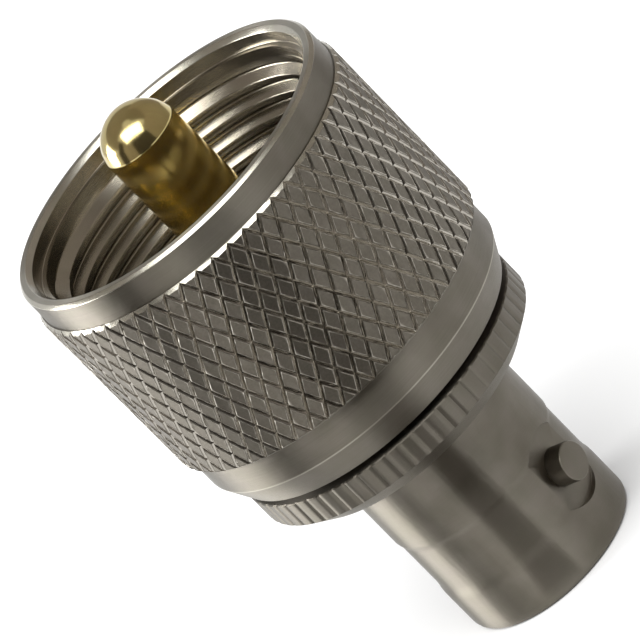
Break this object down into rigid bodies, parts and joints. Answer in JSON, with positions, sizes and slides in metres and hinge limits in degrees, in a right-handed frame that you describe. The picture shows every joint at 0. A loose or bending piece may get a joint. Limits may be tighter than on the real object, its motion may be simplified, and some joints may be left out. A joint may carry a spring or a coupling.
{
  "type": "coaxial adapter, UHF plug to bayonet jack",
  "caption": "Coaxial adapter: a knurled coupling nut with an internal thread round a thick centre pin, joined to a round jack with bayonet lugs.",
  "frame": {"origin": "centre of the open end of the bayonet jack, which is also the centre of the base of the bounding box", "axes": "+Z along the connector axis from the bayonet jack to the plug's centre pin; +X and -X through the two bayonet lugs"},
  "size_m": [0.0184, 0.0184, 0.0311],
  "materials": {
    "nickel_body": "satin nickel plate on turned brass",
    "nickel_shell": "satin nickel plate on turned brass",
    "nickel_nut": "satin nickel plate on turned and knurled brass",
    "bronze_ring": "plain phosphor bronze",
    "gilt_pin": "gilt, lightly worn",
    "gilt_socket": "gilt",
    "uhf_bead": "white fluoropolymer",
    "bnc_bead": "white fluoropolymer"
  },
  "bodies": {
    "adapter_body": {"bnc_body": "nickel_body", "uhf_shell": "nickel_shell", "uhf_insulator": "uhf_bead", "center_pin": "gilt_pin", "bnc_insulator": "bnc_bead", "bnc_socket": "gilt_socket"},
    "retainer": {"retaining_ring": "bronze_ring"},
    "nut": {"coupling_nut": "nickel_nut"}
  },
  "joints": [
    {"name": "nut_float", "type": "slide", "parent": "adapter_body", "child": "retainer", "axis": [0, 0, 1], "range_m": [0, 0.0008]},
    {"name": "nut_spin", "type": "hinge", "parent": "retainer", "child": "nut", "pos_m": [0, 0, 0.0204], "axis": [0, 0, 1], "continuous": true}
  ]
}
